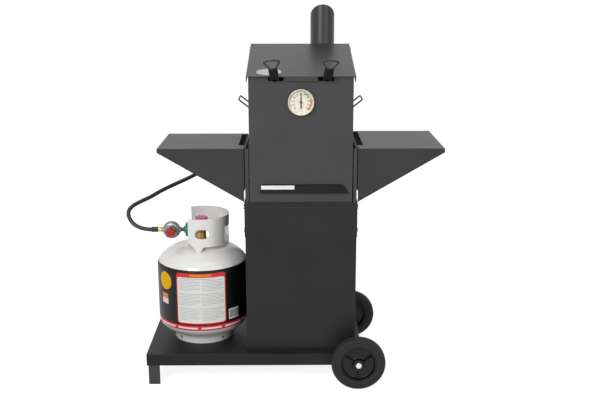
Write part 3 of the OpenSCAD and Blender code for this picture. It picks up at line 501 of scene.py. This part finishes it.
def rod(corners, radius, bend, closed=False):
    """A round bar bent to one radius at every corner"""
    curve = bpy.data.curves.new("rod", "CURVE")
    curve.dimensions = "3D"
    curve.bevel_depth = radius
    curve.bevel_resolution = 3
    curve.resolution_u = 5
    curve.use_fill_caps = not closed
    line = curve.splines.new("BEZIER")
    corners = [Vector(c) for c in corners]
    knots = []
    for i, corner in enumerate(corners):
        if not closed and i in (0, len(corners) - 1):
            knots.append((corner, corner, corner))
            continue
        to_last = (corners[i - 1] - corner).normalized()
        to_next = (corners[(i + 1) % len(corners)] - corner).normalized()
        enter, leave = corner + to_last * bend, corner + to_next * bend
        knots.append((enter, enter, enter - to_last * bend * 0.6))
        knots.append((leave, leave - to_next * bend * 0.6, leave))
    line.bezier_points.add(len(knots) - 1)
    for knot, (at, left, right) in zip(line.bezier_points, knots):
        knot.handle_left_type = knot.handle_right_type = "FREE"
        knot.co, knot.handle_left, knot.handle_right = at, left, right
    line.use_cyclic_u = closed
    drawn = bpy.data.objects.new("rod", curve)
    scene.collection.objects.link(drawn)
    solid = bpy.data.meshes.new_from_object(drawn.evaluated_get(bpy.context.evaluated_depsgraph_get()))
    bm = bmesh.new()
    bm.from_mesh(solid)
    bpy.data.objects.remove(drawn)
    bpy.data.curves.remove(curve)
    bpy.data.meshes.remove(solid)
    bmesh.ops.remove_doubles(bm, verts=bm.verts, dist=0.00001)
    bmesh.ops.recalc_face_normals(bm, faces=bm.faces)
    curve_over(bm)
    return bm


def joined(parts):
    """One mesh out of several, and the several are used up"""
    whole = bmesh.new()
    for part in parts:
        carrier = bpy.data.meshes.new("carrier")
        part.to_mesh(carrier)
        part.free()
        whole.from_mesh(carrier)
        bpy.data.meshes.remove(carrier)
    return whole


bar_coat = finish(
    "bar_powder_coat", "171718", "202021", (0.38, 0.5), patch=40, grain=1100, depth=0.00004, gloss=0.4,
)
bar_radius = 0.0025
weld_bead = [(0.0, 0.0012), (0.0026, 0.0014), (0.0044, 0.0008), (0.0050, 0.0), (0.0, 0.0)]
for side, out in (("left", -1), ("right", 1)):
    low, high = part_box(side + "_lift_handle")
    far, near = (low[0] + bar_radius, high[0]) if out < 0 else (high[0] - bar_radius, low[0])
    ends = (low[1] + bar_radius, high[1] - bar_radius)
    foot_z, top_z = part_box("head_casing")[0][2] + 0.2859, high[2] - bar_radius
    inner = near - out * 0.0008
    feet_and_corners = [
        (inner, ends[0], foot_z), (far, ends[0], top_z), (far, ends[1], top_z), (inner, ends[1], foot_z),
    ]
    parts = [rod(feet_and_corners, bar_radius, 0.008)]
    for y in ends:
        parts.append(turned(weld_bead, (near, y, foot_z + 0.0006), (out, 0, 0), 32, closed=False))
    piece(side + "_carry_bar", joined(parts), "cart", bar_coat, [side + "_lift_handle"])

# ---------------------------------------------------------------- lid
# One folded sheet with side flanges and a short front tab, turning on a bolt at each side.
# Its top is a shade browner than the head, and a blank oval badge sits at its left front.
lid_coat = finish(
    "lid_powder_coat", "292726", "343230", (0.36, 0.48), patch=5, grain=1100, depth=0.00006, gloss=0.5,
)
softened("lid_sheet", "lid", "lid", lid_coat, fold=0.0022)
softened("hinge_bolt_set", "hinge_bolts", "cart", zinc, fold=0.0011, edge=0.0009)
low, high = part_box("hinge_bolts")
hinge_line = Vector(((low[0] + high[0]) / 2, (low[1] + high[1]) / 2, (low[2] + high[2]) / 2))
lid_lean = Matrix.Rotation(radians(11.7), 4, "X")
badge_metal = finish(
    "badge_metal", "b4b4b1", "c6c6c2", (0.42, 0.55), patch=90, grain=800, depth=0.00002, metal=0.15,
    stretch=(1, 8, 1),
)
badge_place = Matrix.Translation((-0.1, -0.3030, 0.01205))
badge_seat = Matrix.Translation(hinge_line) @ lid_lean @ badge_place @ Matrix.Diagonal((1, 0.8, 1, 1))
badge_section = [
    (0.0, 0.0012), (0.0362, 0.0012), (0.0368, 0.0016), (0.0388, 0.0016), (0.0396, 0.0010), (0.0400, 0.0),
    (0.0, 0.0),
]
bm = turned(badge_section, (0, 0, 0), (0, 0, 1), closed=False)
bmesh.ops.transform(bm, matrix=badge_seat, verts=bm.verts)
piece("blank_badge", bm, "lid", badge_metal)

# ---------------------------------------------------------------- baskets
# Each basket is a box of welded plated wire on an 8.5 mm pitch, with a heavier rim rod.
# It hangs by a double-rod handle with a ribbed grip and an end loop.
plated_wire = finish(
    "plated_wire", "a9a9a7", "d0d0cc", (0.18, 0.32), patch=120, grain=1500, depth=0.00002, metal=1.0,
)
handle_coat = finish("handle_coating", "0d0d0d", "171717", (0.3, 0.42), patch=60, grain=1200, depth=0.00003)
grip_rubber = finish(
    "ribbed_grip", "0a0a0a", "131313", (0.6, 0.75), patch=90, grain=1600, depth=0.00006, gloss=0.2,
)
rim_radius, handle_radius = 0.0022, 0.003
rod_apart, rod_above_rim = 0.01, 0.0290


def wire_box(low, high, pitch, wire):
    """An open box of crossed wires"""
    bm = bmesh.new()
    bmesh.ops.create_cube(bm, size=1)
    bmesh.ops.scale(bm, vec=high - low, verts=bm.verts)
    bmesh.ops.translate(bm, vec=(low + high) / 2, verts=bm.verts)
    top = [f for f in bm.faces if f.normal.z > 0.9]
    bmesh.ops.delete(bm, geom=top, context="FACES_ONLY")
    for axis in range(3):
        count = round((high[axis] - low[axis]) / pitch)
        for k in range(1, count):
            normal = Vector((0, 0, 0))
            normal[axis] = 1
            cut = low + (high - low) * (k / count)
            bmesh.ops.bisect_plane(
                bm, geom=bm.verts[:] + bm.edges[:] + bm.faces[:], plane_co=cut, plane_no=normal,
            )
    bmesh.ops.wireframe(
        bm, faces=bm.faces[:], thickness=wire, use_replace=True, use_boundary=True, use_even_offset=True,
    )
    return bm


for side, out in (("left", -1), ("right", 1)):
    low, high = (Vector(c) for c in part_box(side + "_basket"))
    floor_corner = low + Vector((0.0016, 0.0016, 0.0016))
    rim_corner = high - Vector((0.0016, 0.0016, 0.0024))
    parts = [wire_box(floor_corner, rim_corner, 0.0085, 0.0012)]
    x0, x1, y0, y1 = low.x + rim_radius, high.x - rim_radius, low.y + rim_radius, high.y - rim_radius
    rim_z = high.z - 0.0024
    parts.append(
        rod(
            [(x0, y0, rim_z), (x1, y0, rim_z), (x1, y1, rim_z), (x0, y1, rim_z)],
            rim_radius, 0.008, closed=True,
        ),
    )
    piece(
        side + "_wire_basket", joined(parts), side + "_basket", plated_wire,
        [side + "_basket"],
    )

    centre_x = (low[0] + high[0]) / 2 + out * 0.002
    front_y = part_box("head_casing")[0][1]
    elbow = Matrix.Translation((centre_x, front_y - 0.016, high.z + rod_above_rim))
    tilt, lean = Matrix.Rotation(radians(38), 4, "X"), Matrix.Rotation(radians(out * 6.5), 4, "Y")
    hold = elbow @ tilt @ lean
    hook_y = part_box(side + "_basket_rods")[1][1] - handle_radius
    half = []
    for s in (-1, 1):
        half.append([
            Vector((centre_x + s * rod_apart, hook_y, high.z - 0.04)),
            Vector((centre_x + s * rod_apart, hook_y, high.z + rod_above_rim)),
            hold @ Vector((s * rod_apart, 0, 0)),
            hold @ Vector((s * rod_apart, 0, 0.054)),
            hold @ Vector((s * 0.026, 0, 0.080)),
        ])
    loop = half[0] + [hold @ Vector((0, 0, 0.084))] + half[1][::-1]
    piece(
        side + "_handle_loop", rod(loop, handle_radius, 0.006), side + "_basket", handle_coat,
        [side + "_basket_rods"],
    )

    bm = bmesh.new()
    core = bmesh.ops.create_cube(bm, size=1)["verts"]
    bmesh.ops.scale(bm, vec=(0.0262, 0.0074, 0.0408), verts=core)
    bmesh.ops.translate(bm, vec=(0, 0, 0.0275), verts=core)
    for k in range(11):
        rib = bmesh.ops.create_cube(bm, size=1)["verts"]
        bmesh.ops.scale(bm, vec=(0.028, 0.009, 0.0024), verts=rib)
        bmesh.ops.translate(bm, vec=(0, 0, 0.0084 + k * 0.00382), verts=rib)
    ease(bm, 0.0009, segments=3)
    bmesh.ops.transform(bm, matrix=hold, verts=bm.verts)
    piece(side + "_ribbed_grip", bm, side + "_basket", grip_rubber, [side + "_grip"])

# ---------------------------------------------------------------- thermometer
# A dial thermometer with a rolled bronze bezel and a glass front. Its probe passes through
# the head's front wall and is held by a nut inside; the needle turns over a printed face.
bezel_bronze = finish(
    "bezel_bronze", "dcc9b2", "f0e1cf", (0.3, 0.45), patch=50, grain=900, depth=0.00003, metal=0.25,
)
face_print = finish(
    "face_cream", "f0e8d8", "f7f0e3", (0.5, 0.6), patch=60, grain=900, depth=0.00001, gloss=0.3,
)
black_print = finish(
    "face_black", "24211f", "332f2c", (0.5, 0.6), patch=200, grain=900, depth=0.00001, gloss=0.3,
)
green_print = finish(
    "face_green", "8fae62", "a9c07c", (0.5, 0.6), patch=200, grain=900, depth=0.00001, gloss=0.3,
)
orange_print = finish(
    "face_orange", "e07f4e", "ea9a6c", (0.5, 0.6), patch=200, grain=900, depth=0.00001, gloss=0.3,
)
low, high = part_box("thermometer_case")
dial = Vector(((low[0] + high[0]) / 2, low[1], (low[2] + high[2]) / 2))
bezel_section = [
    (0.0, 0.0138), (0.0385, 0.0138), (0.0402, 0.0130), (0.0410, 0.0115), (0.0410, 0.0022), (0.0407, 0.0010),
    (0.0400, 0.0002), (0.0390, 0.0), (0.0381, 0.0003), (0.0376, 0.0012), (0.0374, 0.0026), (0.0390, 0.0030),
    (0.0390, 0.0118), (0.0, 0.0118),
]
face_section = [(0.0, 0.0080), (0.0388, 0.0080), (0.0388, 0.0092), (0.0, 0.0092)]
probe_section = [
    (0.0, 0.0140), (0.0090, 0.0140), (0.0090, 0.0158), (0.0030, 0.0160), (0.0030, 0.1085), (0.0022, 0.1115),
    (0.0, 0.1120),
]
piece(
    "dial_case", turned(bezel_section, dial, (0, 1, 0), 128, closed=False), "cart", bezel_bronze,
    ["thermometer_case"],
)
piece(
    "dial_probe", turned(probe_section, dial, (0, 1, 0), 48, closed=False), "cart", zinc,
    ["thermometer_case"],
)
piece(
    "dial_face",
    turned(face_section, dial, (0, 1, 0), 96, closed=False),
    "cart", face_print, ["thermometer_dial"],
)
softened("dial_needle", "thermometer_needle", "needle", black_print, fold=0.0, edge=0.0002)
softened("probe_nut", "thermometer_nut", "cart", yellow_brass, fold=0.0009, edge=0.0007)


def arc_band(inner, outer, start, stop, depth):
    """A printed band on the face between two radii and two clock angles"""
    bm = bmesh.new()
    verts = [bm.verts.new((0, 0, r)) for r in (inner, outer)]
    edge = bm.edges.new(verts)
    bmesh.ops.spin(
        bm, geom=verts + [edge], cent=(0, 0, 0), axis=(0, 1, 0), angle=radians(stop - start),
        steps=max(3, round((stop - start) / 2)),
    )
    bmesh.ops.rotate(bm, cent=(0, 0, 0), matrix=Matrix.Rotation(radians(start), 3, "Y"), verts=bm.verts)
    bmesh.ops.translate(bm, vec=dial + Vector((0, depth, 0)), verts=bm.verts)
    for face in bm.faces:
        if face.normal.y > 0:
            face.normal_flip()
    return bm


piece("green_range", arc_band(0.0270, 0.0315, 18, 56, 0.0079), "cart", green_print)
piece("orange_range", arc_band(0.0290, 0.0335, 68, 142, 0.0079), "cart", orange_print)
marks = [arc_band(0.0225, 0.0229, -135, 135, 0.0079), arc_band(0.0345, 0.0349, -135, 135, 0.0079)]
for k in range(55):
    angle = -135 + k * 5
    inner, half_width = (0.0322, 0.5) if k % 5 == 0 else (0.0334, 0.25)
    marks.append(arc_band(inner, 0.0347, angle - half_width, angle + half_width, 0.0078))
for k in range(11):
    text = bpy.data.curves.new("number", "FONT")
    text.body = str(50 + 50 * k)
    text.size = 0.0058
    text.align_x, text.align_y = "CENTER", "CENTER"
    text.resolution_u = 2
    drawn = bpy.data.objects.new("number", text)
    scene.collection.objects.link(drawn)
    flat = bpy.data.meshes.new_from_object(drawn.evaluated_get(bpy.context.evaluated_depsgraph_get()))
    angle = radians(-135 + 27 * k)
    printed_at = dial + Vector((0.0262 * sin(angle), 0.00775, 0.0262 * cos(angle)))
    flat.transform(Matrix.Translation(printed_at) @ Matrix.Rotation(pi / 2, 4, "X"))
    number = bmesh.new()
    number.from_mesh(flat)
    marks.append(number)
    bpy.data.objects.remove(drawn)
    bpy.data.curves.remove(text)
    bpy.data.meshes.remove(flat)
piece("dial_marks", joined(marks), "cart", black_print)

clear_glass = bpy.data.materials.new("clear_glass")
clear_glass.use_nodes = True
glass_nodes, glass_links = clear_glass.node_tree.nodes, clear_glass.node_tree.links
glass = glass_nodes["Principled BSDF"]
glass.inputs["Transmission Weight"].default_value = 1.0
glass.inputs["IOR"].default_value = 1.45
glass.inputs["Alpha"].default_value = 0.2
smear = glass_nodes.new("ShaderNodeTexNoise")
smear.inputs["Scale"].default_value = 60
smear_where = glass_nodes.new("ShaderNodeTexCoord")
glass_links.new(smear_where.outputs["Object"], smear.inputs["Vector"])
smear_range = glass_nodes.new("ShaderNodeMapRange")
smear_range.inputs["To Min"].default_value = 0.0
smear_range.inputs["To Max"].default_value = 0.05
glass_links.new(smear.outputs["Fac"], smear_range.inputs["Value"])
glass_links.new(smear_range.outputs["Result"], glass.inputs["Roughness"])
lens_section = [
    (0.0, 0.0008), (0.0200, 0.0011), (0.0378, 0.0022), (0.0384, 0.0028), (0.0378, 0.0034), (0.0200, 0.0023),
    (0.0, 0.0020),
]
piece(
    "dial_glass", turned(lens_section, dial, (0, 1, 0), 96, closed=False), "cart", clear_glass,
    ["thermometer_lens"],
)

# ---------------------------------------------------------------- gas cylinder
# Standard 20 lb steel cylinder: a rolled shell with domed ends, a foot ring and a collar
# round the valve, all in gloss off-white enamel. A printed sleeve wraps its straight wall.
cylinder_enamel = finish(
    "cylinder_enamel", "eae9e7", "f1f0ed", (0.16, 0.26), patch=5, grain=150, depth=0.00012, coat=0.35,
)
low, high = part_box("cylinder_shell")
tank_axis = Vector(((low[0] + high[0]) / 2, (low[1] + high[1]) / 2, 0))
shell_r, low_dome, high_dome = 0.153, 0.0700, 0.0775
wall_low, wall_high = low[2] + low_dome, low[2] + 0.2520


def shell_radius(z):
    """Radius of the shell at a height: straight in the middle, and half an ellipse at each end"""
    past = max((wall_low - z) / low_dome, (z - wall_high) / high_dome, 0)
    return shell_r * sqrt(max(1 - past ** 2, 0))


shell_section = [
    (shell_r * sin(radians(a)), wall_low - low_dome * cos(radians(a)))
    for a in range(0, 90, 3)
]
shell_section += [
    (shell_r, wall_low), (shell_r, wall_low + 0.061), (shell_r, wall_high - 0.061), (shell_r, wall_high),
]
shell_section += [
    (shell_r * cos(radians(a)), wall_high + high_dome * sin(radians(a)))
    for a in range(3, 81, 3)
]
shell_section += [
    (0.0225, wall_high + 0.0768), (0.0208, wall_high + 0.0785), (0.0200, wall_high + 0.0815),
    (0.0122, wall_high + 0.0815), (0.0122, wall_high + 0.0700), (0.0, wall_high + 0.0700),
]
piece(
    "cylinder_wall", turned(shell_section, tank_axis, (0, 0, 1), 160, closed=False), "cart",
    cylinder_enamel, ["cylinder_shell"],
)
softened(
    "cylinder_foot_ring", "cylinder_foot", "cart", cylinder_enamel, fold=0.0, edge=0.0011,
)
softened("cylinder_guard", "cylinder_collar", "cart", cylinder_enamel, fold=0.0, edge=0.0012)
foot_r = 0.1018
foot_weld_z = wall_low - low_dome * sqrt(1 - (foot_r / shell_r) ** 2) - 0.0012
bead = [(foot_r + 0.0024 * cos(t * pi / 6), 0.0022 * sin(t * pi / 6)) for t in range(12)]
piece(
    "foot_weld",
    turned(bead, tank_axis + Vector((0, 0, foot_weld_z)), (0, 0, 1), 128),
    "cart", cylinder_enamel,
)

# ---------------------------------------------------------------- printed sleeve
# Heat-shrunk black film with a red band at its foot, a white panel of ruled lines in a red
# border, a yellow spot and two small plain labels. None of it carries words or marks.
film_black = finish(
    "film_black", "0c0b0b", "131211", (0.34, 0.46), patch=14, grain=400, depth=0.00004, gloss=0.2,
)
film_red = finish(
    "film_red", "dd3034", "e83c3e", (0.22, 0.34), patch=20, grain=400, depth=0.00004, gloss=0.2,
)
film_white = finish("film_white", "ececea", "f3f3f1", (0.24, 0.36), patch=20, grain=400, depth=0.00004)
film_grey = finish("film_grey", "bdbdbd", "cbcbcb", (0.3, 0.4), patch=60, grain=400, depth=0.00002)
film_slate = finish("film_slate", "4a4a4a", "5a5a5a", (0.3, 0.4), patch=60, grain=400, depth=0.00002)
film_orange = finish(
    "film_orange", "e08030", "ee9440", (0.24, 0.36), patch=20, grain=400, depth=0.00004, gloss=0.2,
)
film_yellow = finish(
    "film_yellow", "f6b000", "ffc400", (0.3, 0.42), patch=20, grain=400, depth=0.00004, gloss=0.1,
)


def ring_of_film(bottom, top, lift):
    """A closed film ring that follows the shell between two heights"""
    steps = 40
    heights = [bottom + (top - bottom) * k / steps for k in range(steps + 1)]
    outside = [(shell_radius(z) + lift, z) for z in heights]
    inside = [(shell_radius(z) - 0.0004, z) for z in reversed(heights)]
    return turned(outside + inside, tank_axis, (0, 0, 1), 160)


def stuck_on(bm, lift):
    """Cuts a flat label, drawn in width and height, into strips and bends it round the shell"""
    xs, zs = [v.co.x for v in bm.verts], [v.co.z for v in bm.verts]
    for axis, values, pitch in ((0, xs, 0.006), (2, zs, 0.008)):
        start, count = min(values), int((max(values) - min(values)) / pitch)
        for k in range(1, count + 1):
            at, normal = Vector((0, 0, 0)), Vector((0, 0, 0))
            at[axis], normal[axis] = start + k * pitch, 1
            bmesh.ops.bisect_plane(
                bm, geom=bm.verts[:] + bm.edges[:] + bm.faces[:], plane_co=at, plane_no=normal,
            )
    for v in bm.verts:
        r = shell_radius(v.co.z) + lift
        angle = v.co.x / shell_r
        v.co = tank_axis + Vector((r * sin(angle), -r * cos(angle), v.co.z))
    bmesh.ops.recalc_face_normals(bm, faces=bm.faces)
    for face in bm.faces:
        face.smooth = True
        outward = face.calc_center_median() - tank_axis
        if face.normal.x * outward.x + face.normal.y * outward.y < 0:
            face.normal_flip()
    return bm


def label(left, right, bottom, top, corner, lift):
    """A rectangular label with round corners; widths are measured along the wall from the front"""
    bm = bmesh.new()
    bmesh.ops.create_grid(bm, x_segments=1, y_segments=1, size=0.5)
    bmesh.ops.rotate(bm, cent=(0, 0, 0), matrix=Matrix.Rotation(pi / 2, 3, "X"), verts=bm.verts)
    bmesh.ops.scale(bm, vec=(right - left, 1, top - bottom), verts=bm.verts)
    bmesh.ops.translate(bm, vec=((left + right) / 2, 0, (bottom + top) / 2), verts=bm.verts)
    if corner:
        bmesh.ops.bevel(
            bm, geom=bm.verts[:], offset=corner, offset_type="OFFSET", segments=5, profile=0.5,
            affect="VERTICES", material=-1,
        )
    return stuck_on(bm, lift)


piece("black_sleeve", ring_of_film(0.1920, 0.3835, 0.0005), "cart", film_black)
piece("red_band", ring_of_film(0.1745, 0.1925, 0.0006), "cart", film_red)
dashes = [
    label(-0.487 + k * 0.0812 + 0.006, -0.487 + k * 0.0812 + 0.0752, 0.1803, 0.1862, 0.0, 0.0008)
    for k in range(12)
]
piece("band_dashes", joined(dashes), "cart", film_white)
piece(
    "panel_border", label(-0.0771, 0.0925, 0.1975, 0.3745, 0.010, 0.0008), "cart", film_red,
)
piece(
    "panel_white", label(-0.0735, 0.0888, 0.2015, 0.3605, 0.008, 0.0010), "cart", film_white,
)
piece(
    "panel_heading", label(-0.0290, 0.0435, 0.3625, 0.3725, 0.0, 0.0010), "cart",
    film_orange,
)
lines = []
for block in range(3):
    top = 0.3570 - block * 0.0515
    lines.append(label(-0.0690, 0.0560 + 0.012 * block, top - 0.0022, top, 0.0, 0.0012))
    for column in (0, 1):
        left = -0.0690 + column * 0.0790
        for k in range(8):
            length = 0.0740 - 0.0130 * ((3 * k + 2 * block + column) % 4 == 0) - 0.0260 * (k == 7)
            foot, head = top - 0.0072 - k * 0.0050, top - 0.0054 - k * 0.0050
            lines.append(label(left, left + length, foot, head, 0.0, 0.0012))
piece("panel_lines", joined(lines), "cart", film_grey)
bm = bmesh.new()
bmesh.ops.create_circle(bm, cap_ends=True, segments=48, radius=0.031)
bmesh.ops.rotate(bm, cent=(0, 0, 0), matrix=Matrix.Rotation(pi / 2, 3, "X"), verts=bm.verts)
bmesh.ops.translate(bm, vec=(-0.130, 0, 0.3355), verts=bm.verts)
piece("yellow_spot", stuck_on(bm, 0.0008), "cart", film_yellow)
piece(
    "tag_orange", label(-0.1500, -0.1170, 0.2730, 0.2910, 0.0, 0.0008), "cart", film_orange,
)
piece("tag_white", label(-0.1500, -0.1170, 0.2550, 0.2730, 0.0, 0.0008), "cart", film_white)
piece(
    "patch_white", label(0.1030, 0.1460, 0.2030, 0.2400, 0.0015, 0.0008), "cart", film_white,
)
stripes = [label(0.1070 + k * 0.0050, 0.1096 + k * 0.0050, 0.2090, 0.2350, 0.0, 0.0010) for k in range(8)]
piece("patch_stripes", joined(stripes), "cart", film_slate)

# ---------------------------------------------------------------- cylinder valve
# Brass valve screwed into the neck, with a magenta plastic handwheel on its stem and a
# green plastic coupling nut that turns on its outlet.
magenta = finish("magenta_plastic", "c0478f", "d45ba3", (0.32, 0.46), patch=60, grain=700, depth=0.00004)
green = finish("green_plastic", "177a56", "218c66", (0.3, 0.44), patch=60, grain=700, depth=0.00004)
softened("brass_valve", "cylinder_valve", "cart", yellow_brass, fold=0.0, edge=0.0009)
softened("stem_wheel", "valve_handwheel", "handwheel", magenta, fold=0.0, edge=0.0016)
softened("green_nut", "coupling_nut", "coupling_nut", green, fold=0.0, edge=0.0012)

# ---------------------------------------------------------------- regulator
# A die-cast pressure regulator: two halves clamped by screws round their flange, a bonnet
# with the red lobed knob in front, and threaded bosses at the gas inlet and outlet.
die_cast = finish(
    "die_cast_zinc", "84878a", "a0a3a5", (0.36, 0.52), patch=50, grain=520, depth=0.00012, metal=0.75,
)
black_moulding = finish(
    "black_moulding", "1c1c1c", "272727", (0.34, 0.48), patch=60, grain=900, depth=0.00004,
)
low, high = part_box("regulator")
hub = Vector(((low[0] + high[0]) / 2 + 0.0005, low[1], (low[2] + high[2]) / 2))
body_section = [
    (0.0, 0.0), (0.0036, 0.0), (0.0040, 0.0004), (0.0040, 0.0148), (0.0155, 0.0150), (0.0168, 0.0160), (
        0.0172, 0.0176,
    ),
    (0.0176, 0.0258), (0.0190, 0.0270), (0.0238, 0.0282), (0.0258, 0.0300), (0.0266, 0.0340), (
        0.0296, 0.0346,
    ),
    (0.0300, 0.0352), (0.0300, 0.0398), (0.0296, 0.0404), (0.0266, 0.0410), (0.0258, 0.0468), (
        0.0236, 0.0512,
    ),
    (0.0180, 0.0534), (0.0, 0.0540),
]
parts = [turned(body_section, hub, (0, 1, 0), 96, closed=False)]
boss_section = [(0.0, 0.0), (0.0086, 0.0), (0.0095, 0.0010), (0.0095, 0.0330), (0.0, 0.0330)]
axis_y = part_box("hose_fitting")[0][1] + 0.0075
parts.append(turned(boss_section, (low[0], axis_y, hub.z), (1, 0, 0), 48, closed=False))
parts.append(turned(boss_section, (high[0], axis_y, hub.z), (-1, 0, 0), 48, closed=False))
screw = [(0.0, 0.0), (0.0016, 0.0001), (0.0023, 0.0007), (0.0025, 0.0016), (0.0025, 0.0022), (0.0, 0.0022)]
for k in range(8):
    angle = radians(22.5 + 45 * k)
    parts.append(
        turned(
            screw, hub + Vector((0.0272 * cos(angle), 0.0327, 0.0272 * sin(angle))), (0, 1, 0), 20,
            closed=False,
        ),
    )
piece("regulator_casting", joined(parts), "cart", die_cast, ["regulator"])
softened("lobed_knob", "regulator_knob", "regulator_knob", red_vinyl, fold=0.0, edge=0.0015)
softened("nipple", "inlet_nipple", "cart", black_moulding, fold=0.0, edge=0.0007)
softened("brass_hose_end", "hose_fitting", "cart", yellow_brass, fold=0.0, edge=0.0007)
